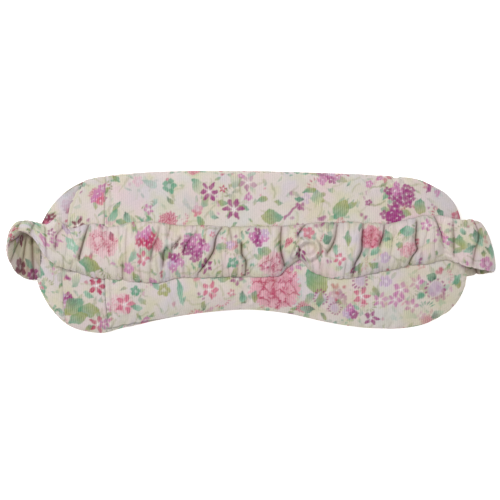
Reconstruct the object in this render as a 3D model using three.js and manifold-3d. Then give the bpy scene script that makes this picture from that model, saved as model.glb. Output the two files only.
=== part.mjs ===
// A padded eye pillow, lying face down with its elastic strap on top.
//
// The cover is three printed cotton panels: one face panel, one large back panel and a side flap that
// passes under the back panel's hemmed edge, so the plain pouch of filling can be taken out. A ruched
// strap is sewn into both side seams and lies across the back in a flat run with a loop at each end.
//
// Millimetres, +X to the right seen from the strap side, +Y up that view, +Z out of the back panel.
// The origin is under the middle of the object, on the surface that it lies on.

import * as THREE from 'three';
import { mergeVertices } from 'three/addons/utils/BufferGeometryUtils.js';
import Module from 'manifold-3d';

// Pillow outline
const HALF_LENGTH = 110;
const HALF_WIDTH = 41.5;
const SEAM_HEIGHT = 5;          // the side seam's height above the table
const LOBE_RISE = 9;            // crown of the two eye lobes above the seam
const BRIDGE_DROP = 2.2;        // how much lower the crown is over the nose
const BRIDGE_REACH = 30;        // how far along X the lower crown reaches
const UNDERSIDE_DEPTH = 7;      // depth of the face side before it is flattened on the table
const SECTION_POWER = 2.6;      // fullness of the cross-section
const END_POWER = 4;            // fullness of the long section

// Cloth layers, measured inwards from the cover's outer surface
const COVER_THICKNESS = 0.8;
const FLAP_INSET = 1.1;
const POUCH_INSET = 2.3;
const POUCH_THICKNESS = 0.6;
const FILLING_INSET = 3.3;
const SEAM_GAP = 0.5;           // half the space between two joined panels, which holds their thread
const THREAD = 0.4;
const GAP = 0.35;               // clearance between touching pieces

// Envelope opening
const BACK_PANEL_EDGE_X = -72.6;
const FLAP_EDGE_X = -45;
const HEM_WIDTH = 2.5;

// Strap
const CASING_WIDTH = 27;
const CASING_THICKNESS = 4.5;
const CASING_WALL = 0.8;
const ELASTIC_WIDTH = 20;
const ELASTIC_THICKNESS = 1.4;
const STRAP_REACH = 126.2;      // from the middle to the outside of each loop
const STRAP_TOP = 16.3;         // height of the flat run's centre plane
const SPAN_HALF_LENGTH = 24;    // the middle of the strap, which is lifted by hand
const TACK_WIDTH = 20;

const MESH_ALONG = 30;
const MESH_AROUND = 20;
const STRAP_STEPS = 24;
const SPAN_STEPS = 2;
const BIG = 400;

const wasm = await Module();
wasm.setup();

const cloth = (color) => new THREE.MeshStandardMaterial({ color, roughness: 0.9, metalness: 0 });
const printedCotton = cloth(0xdcd6c4);
const plainCotton = cloth(0xe9e2d3);
const sewingThread = cloth(0xe6e0d0);
const wovenElastic = cloth(0xf2f0ea);
const driedHerbs = cloth(0x8a6a3c);

// ---- booleans ----

function toManifold(geometry) {
  const bare = geometry.index ? geometry.clone() : geometry;
  bare.deleteAttribute('normal');
  bare.deleteAttribute('uv');
  const merged = mergeVertices(bare, 1e-4);
  return new wasm.Manifold(new wasm.Mesh({
    numProp: 3,
    vertProperties: new Float32Array(merged.attributes.position.array),
    triVerts: new Uint32Array(merged.index.array),
  }));
}

function toGeometry(manifold) {
  const data = manifold.getMesh();
  const geometry = new THREE.BufferGeometry();
  geometry.setAttribute('position', new THREE.BufferAttribute(data.vertProperties, 3));
  geometry.setIndex(new THREE.BufferAttribute(data.triVerts, 1));
  geometry.computeVertexNormals();
  return geometry;
}

function boxBetween(low, high) {
  const size = high.map((value, k) => value - low[k]);
  const box = new THREE.BoxGeometry(...size);
  box.translate(...low.map((value, k) => value + size[k] / 2));
  return toManifold(box);
}

const above = (z) => boxBetween([-BIG, -BIG, z], [BIG, BIG, BIG]);
const below = (z) => boxBetween([-BIG, -BIG, -BIG], [BIG, BIG, z]);
const rightOf = (x) => boxBetween([x, -BIG, -BIG], [BIG, BIG, BIG]);
const leftOf = (x) => boxBetween([-BIG, -BIG, -BIG], [x, BIG, BIG]);

// ---- the pillow's outline and its padded solid ----

// Both edges run from the left end to the right end. The lower edge holds the nose notch.
const curveThrough = (points) =>
  new THREE.CatmullRomCurve3(points.map(([x, y]) => new THREE.Vector3(x, y, 0)), false, 'centripetal');

const upperEdge = curveThrough([
  [-110, -3], [-109, 8], [-105.6, 17], [-100, 25.5], [-92, 32.6], [-82, 37], [-66, 39.8],
  [-40, 41.4], [0, 41.5], [30, 40.8], [60, 39.7], [84, 37.6], [95.5, 32.8], [102, 25.5],
  [105.8, 15], [108.4, 1], [110, -13],
]);
const lowerEdge = curveThrough([
  [-110, -3], [-109.2, -14], [-106, -23], [-99.8, -32], [-91, -39], [-77, -41.7], [-61, -38.6],
  [-41, -34.2], [-20, -31.2], [0, -30], [20, -32], [40, -36.4], [59, -39.2], [77, -39.6],
  [90, -36.8], [100, -30], [106.6, -22], [109.3, -16.5], [110, -13],
]);

function crown(x) {
  const end = Math.sqrt(Math.max(0, 1 - Math.abs(x / HALF_LENGTH) ** END_POWER));
  return (LOBE_RISE - BRIDGE_DROP * Math.exp(-((x / BRIDGE_REACH) ** 2))) * end;
}

// The pillow's outer surface moved inwards by inset. Rings of a sphere whose poles lie at the two ends
// are stretched between the upper and the lower edge.
function pillowSolid(inset) {
  const geometry = new THREE.SphereGeometry(1, MESH_AROUND, MESH_ALONG);
  const position = geometry.attributes.position;
  const lengthScale = 1 - inset / HALF_LENGTH;
  const widthScale = 1 - inset / HALF_WIDTH;
  const riseScale = 1 - inset / LOBE_RISE;
  const depthScale = 1 - inset / UNDERSIDE_DEPTH;
  for (let i = 0; i < position.count; i += 1) {
    const along = 1 - Math.acos(THREE.MathUtils.clamp(position.getY(i), -1, 1)) / Math.PI;
    const ring = (1 - Math.cos(along * Math.PI)) / 2;
    const radius = Math.hypot(position.getX(i), position.getZ(i)) || 1;
    const across = -position.getX(i) / radius;
    const up = position.getZ(i) / radius;
    const top = upperEdge.getPointAt(ring);
    const bottom = lowerEdge.getPointAt(ring);
    const edgePoint = top.clone().add(bottom).multiplyScalar(0.5)
      .addScaledVector(top.sub(bottom), across / 2);
    const fullness = Math.sqrt(1 - Math.abs(across) ** SECTION_POWER);
    const rise = crown(edgePoint.x) * fullness;
    const height = up >= 0
      ? SEAM_HEIGHT + rise * riseScale
      : SEAM_HEIGHT - rise * depthScale * UNDERSIDE_DEPTH / LOBE_RISE;
    position.setXYZ(i, edgePoint.x * lengthScale, edgePoint.y * widthScale, Math.max(inset, height));
  }
  return toManifold(geometry);
}

const shell = (inset, thickness) => pillowSolid(inset).subtract(pillowSolid(inset + thickness));

// A thread that runs all round the outline in the gap between two panels.
function perimeterThread(inset) {
  const slice = boxBetween(
    [-BIG, -BIG, SEAM_HEIGHT - THREAD / 2],
    [BIG, BIG, SEAM_HEIGHT + THREAD / 2],
  );
  return shell(inset, THREAD).intersect(slice);
}

// A thread laid across the width of a panel at x, just above the surface at the given inset.
function crossThread(x, inset) {
  const band = boxBetween([x - THREAD / 2, -BIG, SEAM_HEIGHT + 1], [x + THREAD / 2, BIG, BIG]);
  return shell(inset, THREAD).intersect(band);
}

// ---- the strap ----

// Centre line of the strap from the left side seam, round the loop and over the pillow to the middle.
const LOOP_REACH = STRAP_REACH - CASING_THICKNESS / 2;
const strapHalf = new THREE.CatmullRomCurve3([
  [-HALF_LENGTH + 3, SEAM_HEIGHT], [-114, SEAM_HEIGHT - 0.6], [-120, SEAM_HEIGHT],
  [-LOOP_REACH, SEAM_HEIGHT + 5.2], [-120, STRAP_TOP - 0.8], [-113, STRAP_TOP],
  [-100, STRAP_TOP], [-SPAN_HALF_LENGTH - GAP / 2, STRAP_TOP],
].map(([x, z]) => new THREE.Vector3(x, 0, z)), false, 'centripetal');

// A ribbon of the given thickness along points in the XZ plane, with its width along Y.
function ribbon(points, thickness, yLow, yHigh) {
  const left = [];
  const right = [];
  points.forEach((point, i) => {
    const before = points[Math.max(0, i - 1)];
    const after = points[Math.min(points.length - 1, i + 1)];
    const tangent = after.clone().sub(before).normalize();
    left.push(new THREE.Vector2(point.x - tangent.z * thickness / 2, point.z + tangent.x * thickness / 2));
    right.push(new THREE.Vector2(point.x + tangent.z * thickness / 2, point.z - tangent.x * thickness / 2));
  });
  const outline = new THREE.Shape([...left, ...right.reverse()]);
  const geometry = new THREE.ExtrudeGeometry(outline, { depth: yHigh - yLow, bevelEnabled: false });
  geometry.rotateX(Math.PI / 2);
  geometry.translate(0, yHigh, 0);
  return toManifold(geometry);
}

function extended(points, reach) {
  const first = points[0].clone().sub(points[1]).setLength(reach).add(points[0]);
  const end = points.length - 1;
  const last = points[end].clone().sub(points[end - 1]).setLength(reach).add(points[end]);
  return [first, ...points, last];
}

// The three layers of one stretch of strap: the open-ended casing, the elastic in it, its long seam.
function strapStretch(points) {
  const half = CASING_WIDTH / 2;
  const inside = half - CASING_WALL;
  const hollow = ribbon(extended(points, 1), CASING_THICKNESS - 2 * CASING_WALL, -inside, inside);
  return {
    casing: ribbon(points, CASING_THICKNESS, -half, half).subtract(hollow),
    elastic: ribbon(points, ELASTIC_THICKNESS, -ELASTIC_WIDTH / 2, ELASTIC_WIDTH / 2),
    long_seam: ribbon(points, THREAD, -half - GAP - THREAD, -half - GAP),
  };
}

const sampled = (curve, steps) => curve.getSpacedPoints(steps);
const mirrored = (points) => points.map((p) => new THREE.Vector3(-p.x, p.y, p.z)).reverse();
const leftPoints = sampled(strapHalf, STRAP_STEPS);
const spanEnd = new THREE.Vector3(SPAN_HALF_LENGTH - GAP / 2, 0, STRAP_TOP);
const spanCurve = new THREE.LineCurve3(new THREE.Vector3(-spanEnd.x, 0, STRAP_TOP), spanEnd);
const stretches = {
  left_end: leftPoints,
  span: sampled(spanCurve, SPAN_STEPS),
  right_end: mirrored(leftPoints),
};

// The stitching that holds a strap end in its side seam, a bar on top of the casing.
function strapTack(side) {
  const z = SEAM_HEIGHT + CASING_THICKNESS / 2 + GAP;
  const x = side * (HALF_LENGTH + 3);
  return boxBetween([x - 0.6, -TACK_WIDTH / 2, z], [x + 0.6, TACK_WIDTH / 2, z + THREAD]);
}

// ---- assembly ----

const eyePillow = new THREE.Group();

function addPiece(name, manifold, material) {
  const mesh = new THREE.Mesh(toGeometry(manifold), material);
  mesh.name = name;
  eyePillow.add(mesh);
}

const lower = below(SEAM_HEIGHT - SEAM_GAP);
const upper = above(SEAM_HEIGHT + SEAM_GAP);
const cover = shell(0, COVER_THICKNESS);
const pouch = shell(POUCH_INSET, POUCH_THICKNESS);

addPiece('cover_front_panel', cover.intersect(lower), printedCotton);
addPiece('cover_back_panel', cover.intersect(upper).intersect(rightOf(BACK_PANEL_EDGE_X)), printedCotton);
addPiece('cover_side_flap',
  shell(FLAP_INSET, COVER_THICKNESS).intersect(upper).intersect(leftOf(FLAP_EDGE_X)), printedCotton);
addPiece('cover_perimeter_seam', perimeterThread(THREAD), sewingThread);
addPiece('back_panel_hem_stitch',
  crossThread(BACK_PANEL_EDGE_X + HEM_WIDTH, -GAP - THREAD), sewingThread);
addPiece('side_flap_hem_stitch',
  crossThread(FLAP_EDGE_X + HEM_WIDTH, FLAP_INSET + GAP), sewingThread);
addPiece('pouch_front_panel', pouch.intersect(lower), plainCotton);
addPiece('pouch_back_panel', pouch.intersect(upper), plainCotton);
addPiece('pouch_seam', perimeterThread(POUCH_INSET + THREAD / 2), sewingThread);
addPiece('herb_filling', pillowSolid(FILLING_INSET), driedHerbs);

const strapMaterials = { casing: printedCotton, elastic: wovenElastic, long_seam: sewingThread };
const roomForPillow = pillowSolid(-GAP);
for (const [place, points] of Object.entries(stretches)) {
  for (const [layer, solid] of Object.entries(strapStretch(points))) {
    addPiece(`strap_${layer}_${place}`, solid.subtract(roomForPillow), strapMaterials[layer]);
  }
}
addPiece('left_strap_tack', strapTack(-1), sewingThread);
addPiece('right_strap_tack', strapTack(1), sewingThread);

export default eyePillow;
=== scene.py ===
"""An eye pillow lying face down with its ruched strap on top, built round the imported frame.

Lengths are written in millimetres and turned into metres where a mesh is made. +X runs along the
pillow, +Y towards the forehead edge, +Z out of the back panel, as in the frame.
"""

import math

import bpy
import numpy as np
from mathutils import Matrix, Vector


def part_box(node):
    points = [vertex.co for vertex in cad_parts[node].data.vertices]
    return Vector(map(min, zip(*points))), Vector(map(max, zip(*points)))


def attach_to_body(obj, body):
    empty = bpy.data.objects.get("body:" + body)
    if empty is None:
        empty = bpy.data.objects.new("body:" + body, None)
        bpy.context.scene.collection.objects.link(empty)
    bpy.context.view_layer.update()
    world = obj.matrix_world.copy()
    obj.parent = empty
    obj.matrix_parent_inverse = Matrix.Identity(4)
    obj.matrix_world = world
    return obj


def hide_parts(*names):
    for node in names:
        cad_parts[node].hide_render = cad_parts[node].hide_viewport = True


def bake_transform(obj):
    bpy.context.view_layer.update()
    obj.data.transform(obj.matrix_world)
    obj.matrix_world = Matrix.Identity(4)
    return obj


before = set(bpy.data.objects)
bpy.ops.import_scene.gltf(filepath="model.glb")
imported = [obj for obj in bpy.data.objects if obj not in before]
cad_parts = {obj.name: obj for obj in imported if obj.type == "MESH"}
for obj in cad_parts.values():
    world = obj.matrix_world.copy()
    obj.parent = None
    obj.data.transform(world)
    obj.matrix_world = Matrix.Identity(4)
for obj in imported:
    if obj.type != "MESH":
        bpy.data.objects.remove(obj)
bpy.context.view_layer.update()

MM = 0.001

# ---- sizes, in mm ----

COVER_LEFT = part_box("cover_front_panel")[0][0] / MM
COVER_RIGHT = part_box("cover_front_panel")[1][0] / MM
COVER_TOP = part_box("cover_back_panel")[1][2] / MM
SEAM_HEIGHT = 5.0
OPENING_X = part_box("cover_back_panel")[0][0] / MM
FLAP_END_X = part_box("cover_side_flap")[1][0] / MM

HEM_WIDTH = 2.4
ROLLED_EDGE_END = -30       # the face side shows round the lower edge from the opening to here
RIB_PITCH = 1.05            # of the printed cotton: its ribs, and the threads across them
THREAD_PITCH = 0.62
FINE_STEP = 0.42            # between the points of the panels that show

# The pillow's outline, from its left end to its right end
UPPER_EDGE = [
    (-110, -3), (-109, 8), (-105.6, 17), (-100, 25.5), (-92, 32.6), (-82, 37), (-66, 39.8),
    (-40, 41.4), (0, 41.5), (30, 40.8), (60, 39.7), (84, 37.6), (95.5, 33.4), (103, 27.9),
    (107.3, 21.5), (109.5, 12), (111.1, -1), (111.8, -13),
]
LOWER_EDGE = [
    (-110, -3), (-109.2, -14), (-106, -23), (-99.8, -32), (-91, -39), (-77, -41.7), (-61, -38.6),
    (-41, -34.2), (-20, -31.2), (0, -30), (20, -32), (40, -36.4), (59, -39.2), (77, -39.6),
    (90.6, -37.2), (101.2, -31.5), (107.2, -25.6), (110.8, -18.4), (111.8, -13),
]


# ---- curves and surfaces ----

def smooth_step(x):
    x = np.clip(x, 0, 1)
    return x * x * (3 - 2 * x)


def soft_line(off, width):
    """1 on a line, and softly less beside it, at distances off from it."""
    return np.exp(-((off / width) ** 2))


def unit(vectors):
    return vectors / np.linalg.norm(vectors, axis=-1, keepdims=True)


def catmull_rom(before, start, end, after, t):
    """The point at t between start and end on a smooth curve through all four."""
    return 0.5 * (
        2 * start + (end - before) * t
        + (2 * before - 5 * start + 4 * end - after) * t**2
        + (3 * start - before - 3 * end + after) * t**3
    )


def curve_at(points, where):
    """Places on a smooth curve through points, where 0 is the first point and 1 the last."""
    points = np.asarray(points, float)
    place = np.clip(np.asarray(where, float), 0, 1) * (len(points) - 1)
    first = np.minimum(place.astype(int), len(points) - 2)
    t = (place - first)[..., None]
    padded = np.vstack([2 * points[0] - points[1], points, 2 * points[-1] - points[-2]])
    return catmull_rom(*(padded[first + k] for k in range(4)), t)


def run_along(line):
    """The distance along a line of points at each of them."""
    return np.r_[0, np.cumsum(np.linalg.norm(np.diff(line, axis=0), axis=1))]


def between(run, values, at):
    """Points or directions that are known at distances run, at other distances."""
    return np.stack([np.interp(at, run, column) for column in values.T], axis=1)


def evenly(points, count, dense=2000):
    """Count places at even distances along the smooth curve through points."""
    fine = curve_at(points, np.linspace(0, 1, dense))
    run = run_along(fine)
    return between(run, fine, np.linspace(0, run[-1], count))


def nearest(line, place):
    """The number of the point of a line that is nearest to a place."""
    return np.argmin(np.linalg.norm(line - place, axis=1))


def sample(grid, u, v):
    """A smooth surface through a grid of points, at u along its first axis and v along its second."""
    rows, columns = grid.shape[:2]
    padded = np.pad(grid, ((1, 1), (1, 1), (0, 0)), mode="reflect", reflect_type="odd")
    pu, pv = np.clip(u, 0, 1) * (rows - 1), np.clip(v, 0, 1) * (columns - 1)
    iu, iv = np.minimum(pu.astype(int), rows - 2), np.minimum(pv.astype(int), columns - 2)
    tu, tv = (pu - iu)[..., None], (pv - iv)[..., None]
    across = [
        catmull_rom(*(padded[iu + i, iv + j] for j in range(4)), tv)
        for i in range(4)
    ]
    return catmull_rom(*across, tu)


# ---- meshes ----

def numbered(grid):
    """Vertex numbers for a grid of points."""
    return np.arange(grid.shape[0] * grid.shape[1]).reshape(grid.shape[:2])


def two_sides(rows, columns):
    """Vertex numbers for two grids that share the points of their outer edge."""
    first = np.arange(rows * columns).reshape(rows, columns)
    second = first.copy()
    inside = np.arange((rows - 2) * (columns - 2)).reshape(rows - 2, -1)
    second[1:-1, 1:-1] = rows * columns + inside
    return first, second


def grid_faces(index, flip=False):
    """Four-cornered faces between neighbours in a grid of vertex numbers."""
    corners = [index[:-1, :-1], index[1:, :-1], index[1:, 1:], index[:-1, 1:]]
    faces = np.stack([c.ravel() for c in corners], axis=1)
    return faces[:, ::-1] if flip else faces


def tube_faces(index):
    """Faces of a closed tube whose rings are the rows of index."""
    around = grid_faces(np.concatenate([index, index[:, :1]], axis=1))
    return around.tolist() + [index[0].tolist(), index[-1, ::-1].tolist()]


def make_piece(name, points, faces, material, cloth=None, colour=None):
    """A smooth-shaded object from points in mm, with its cloth places and printed colours."""
    mesh = bpy.data.meshes.new(name)
    mesh.from_pydata((points.reshape(-1, 3) * MM).tolist(), [], [list(face) for face in faces])
    mesh.polygons.foreach_set("use_smooth", np.ones(len(mesh.polygons), bool))
    if cloth is not None:
        layer = mesh.attributes.new("cloth", "FLOAT_VECTOR", "POINT")
        places = np.column_stack([cloth, np.zeros(len(cloth))])
        layer.data.foreach_set("vector", places.astype(np.float32).ravel())
        layer = mesh.attributes.new("print", "FLOAT_COLOR", "POINT")
        layer.data.foreach_set("color", colour.astype(np.float32).ravel())
    mesh.materials.append(material)
    piece = bpy.data.objects.new(name, mesh)
    bpy.context.scene.collection.objects.link(piece)
    return piece


# ---- the padded cover, by cloth simulation ----

SIM_STEP = 2.2
SIM_SCALE = 10              # the cloth is simulated this many times its real size
SIM_FRAMES = 13
PATTERN_WIDTH = 200         # about: they only set how many steps the pattern has
PATTERN_HEIGHT = 80
PATTERN_EXTRA = (1.02, 1.045)   # how much larger the pattern is, as inflating draws it in
UPPER_CORNERS = (-97, 28.5), (99.5, 29)
LOWER_CORNERS = (-100.5, -31), (101, -29)
START_DOME = 1.2
PRESSURE = 1.2
OUTLINE_MIDDLE = np.array([0.0, 5.0])
OUTLINE_SMOOTHING = 8       # half degrees
FACE_DEPTH = 6.8            # how deep the face side would be before the table flattens it


def pattern_grid():
    """The flat panel as a grid of places: its four sides joined by a blend of opposite sides."""
    upper, lower = evenly(UPPER_EDGE, 1200), evenly(LOWER_EDGE, 1200)
    upper_left, upper_right = (nearest(upper, corner) for corner in UPPER_CORNERS)
    lower_left, lower_right = (nearest(lower, corner) for corner in LOWER_CORNERS)
    along = int(PATTERN_WIDTH / SIM_STEP) + 1
    across = int(PATTERN_HEIGHT / SIM_STEP) + 1
    top = evenly(upper[upper_left:upper_right + 1], along)
    bottom = evenly(lower[lower_left:lower_right + 1], along)
    left = evenly(np.vstack([lower[lower_left::-1], upper[1:upper_left + 1]]), across)
    right = evenly(np.vstack([lower[lower_right:], upper[upper_right:-1][::-1]]), across)
    u = np.linspace(0, 1, along)[:, None, None]
    v = np.linspace(0, 1, across)[None, :, None]
    ruled = (1 - v) * bottom[:, None] + v * top[:, None] + (1 - u) * left[None] + u * right[None]
    corner_part = (
        (1 - u) * (1 - v) * bottom[0] + u * (1 - v) * bottom[-1]
        + (1 - u) * v * top[0] + u * v * top[-1]
    )
    return ruled - corner_part


def blow_up(pattern):
    """Sews two copies of the pattern together at the edge and inflates them as cloth.

    Returns the back side and the face side as grids of points in mm, not yet laid on the table.
    """
    rows, columns = pattern.shape[:2]
    back, face = two_sides(rows, columns)
    u = np.linspace(0, 1, rows)[:, None]
    v = np.linspace(0, 1, columns)[None]
    dome = START_DOME * (16 * u * (1 - u) * v * (1 - v)) ** 0.5
    points = np.zeros((face.max() + 1, 3))
    flat = pattern * np.array(PATTERN_EXTRA)
    points[face] = np.dstack([flat, -dome])
    points[back] = np.dstack([flat, dome])
    mesh = bpy.data.meshes.new("cover_pattern")
    faces = np.vstack([grid_faces(back), grid_faces(face, flip=True)])
    mesh.from_pydata((points * MM * SIM_SCALE).tolist(), [], faces.tolist())
    piece = bpy.data.objects.new("cover_pattern", mesh)
    scene = bpy.context.scene
    scene.collection.objects.link(piece)
    cloth = piece.modifiers.new("Cloth", "CLOTH")
    settings = cloth.settings
    settings.quality = 4
    settings.mass = 0.25
    settings.tension_stiffness = 30
    settings.compression_stiffness = 10
    settings.shear_stiffness = 5
    settings.bending_stiffness = 0.1
    settings.air_damping = 2
    settings.effector_weights.gravity = 0
    settings.use_pressure = True
    settings.uniform_pressure_force = PRESSURE
    cloth.point_cache.frame_start = 1
    cloth.point_cache.frame_end = SIM_FRAMES
    for number in range(1, SIM_FRAMES + 1):
        scene.frame_set(number)
    shaped = piece.evaluated_get(bpy.context.evaluated_depsgraph_get()).data
    result = np.empty(len(shaped.vertices) * 3)
    shaped.vertices.foreach_get("co", result)
    result = result.reshape(-1, 3) / MM / SIM_SCALE
    scene.frame_set(1)
    bpy.data.objects.remove(piece)
    bpy.data.meshes.remove(mesh)
    return result[back], result[face]


def edge_loop(grid):
    """The points round the edge of a grid, back to the first."""
    return np.concatenate([grid[:-1, 0], grid[-1, :-1], grid[:0:-1, -1], grid[0, ::-1]])


def polar(places):
    """Angles and distances of places from the middle of the outline."""
    dx, dy = np.moveaxis(places[..., :2] - OUTLINE_MIDDLE, -1, 0)
    return np.arctan2(dy, dx), np.hypot(dx, dy)


def reach_by_angle(line, angles):
    """How far a closed line round the middle reaches at the given angles."""
    angle, far = polar(line)
    order = np.argsort(angle)
    return np.interp(angles, angle[order], far[order], period=2 * math.pi)


def lay_on_table(back, face):
    """Fits the inflated cover to the outline and height it has, and flattens its face on the table."""
    edge = edge_loop(back)[:-1]
    outline = np.concatenate([evenly(UPPER_EDGE, 800), evenly(LOWER_EDGE, 800)[::-1]])
    angles = np.linspace(-math.pi, math.pi, 721)[:-1]
    ratio = reach_by_angle(outline, angles) / reach_by_angle(edge, angles)
    window = np.hanning(2 * OUTLINE_SMOOTHING + 1)[1:-1]
    around = np.concatenate([ratio[-OUTLINE_SMOOTHING:], ratio, ratio[:OUTLINE_SMOOTHING]])
    smooth = np.convolve(around, window / window.sum(), mode="same")
    ratio = smooth[OUTLINE_SMOOTHING:-OUTLINE_SMOOTHING]
    high, low = back[..., 2].max(), face[..., 2].min()
    for side in (back, face):
        angle, far = polar(side)
        share = far / reach_by_angle(edge, angle)
        grown = 1 + (np.interp(angle, angles, ratio, period=2 * math.pi) - 1) * share**2
        side[..., :2] = OUTLINE_MIDDLE + (side[..., :2] - OUTLINE_MIDDLE) * grown[..., None]
    back[..., 2] = SEAM_HEIGHT + back[..., 2] * (COVER_TOP - SEAM_HEIGHT) / high
    face[..., 2] = np.maximum(0, SEAM_HEIGHT + face[..., 2] * FACE_DEPTH / -low)
    return back, face


def normals(points):
    """Unit normals of a grid of points."""
    normal = np.cross(np.gradient(points, axis=0), np.gradient(points, axis=1))
    return normal / np.maximum(np.linalg.norm(normal, axis=-1, keepdims=True), 1e-9)


# The seam between the side flap and the face panel, which rolls round the left end: x along y
END_SEAM = [
    (-95, -42), (-95, -34), (-95.2, -25), (-95, -12), (-93.6, 1), (-91.2, 15.2),
    (-89.1, 24), (-85, 35.3), (-83.5, 43),
]


def upright(x):
    """A line straight across the pattern at one x."""
    return [(x, -60), (x, 60)]


def past_line(places, line):
    """How far flat places are to the right of a line of (x, y) points."""
    line = np.asarray(line, float)
    return places[..., 0] - np.interp(places[..., 1], line[:, 1], line[:, 0])


def crossing(flat, v, line):
    """For each v, the u at which the flat pattern crosses the line of (x, y) points."""
    u = np.linspace(0, 1, 800)
    past = past_line(sample(flat, *np.meshgrid(u, v, indexing="ij")), line)
    first = np.maximum(np.argmax(past > 0, axis=0), 1)
    column = np.arange(len(v))
    before, after = past[first - 1, column], past[first, column]
    return u[first - 1] + (u[1] - u[0]) * np.clip(-before / (after - before), 0, 1)


# ---- the printed cotton ----

def srgb(*values):
    """A linear colour from 0 to 255 display values."""
    share = np.array(values) / 255
    return np.where(share <= 0.04045, share / 12.92, ((share + 0.055) / 1.055) ** 2.4)


SHELL = srgb(222, 208, 205)
SAND = srgb(218, 209, 199)
CELERY = srgb(209, 207, 168)
LAVENDER = srgb(206, 199, 210)
MIST = srgb(211, 210, 207)
BLUSH = srgb(226, 200, 202)
PETAL = srgb(228, 190, 196)
WHITE = srgb(236, 228, 228)
FLUSH = srgb(226, 168, 181)
PINK = srgb(220, 152, 168)
ROSE = srgb(206, 108, 134)
CRIMSON = srgb(182, 42, 90)
WINE = srgb(116, 26, 66)
ORCHID = srgb(198, 126, 172)
MAGENTA = srgb(156, 56, 124)
LILAC = srgb(196, 170, 198)
JADE = srgb(86, 154, 124)
PINE = srgb(54, 112, 88)
AQUA = srgb(146, 192, 168)
OLIVE = srgb(160, 164, 98)
MOSS = srgb(132, 140, 82)

# The pale grounds, by how often each turns up
PALE_GROUNDS = [SHELL, SAND, MIST, SHELL, LAVENDER, SAND, BLUSH]
LEAF_COLOURS = [(OLIVE, JADE), (CELERY, JADE), (AQUA, PINE), (JADE, OLIVE), (OLIVE, PINE), (AQUA, JADE)]
TURN = 6.28
GOLDEN_ANGLE = 2.4          # from one floret or petal of a crowded head to the next
OVAL = 0.85                 # how high the round flower heads are for their width


def middle_of(colour):
    """The paler middle of a flower of this colour."""
    return 0.35 * colour + 0.65 * WHITE


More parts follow.
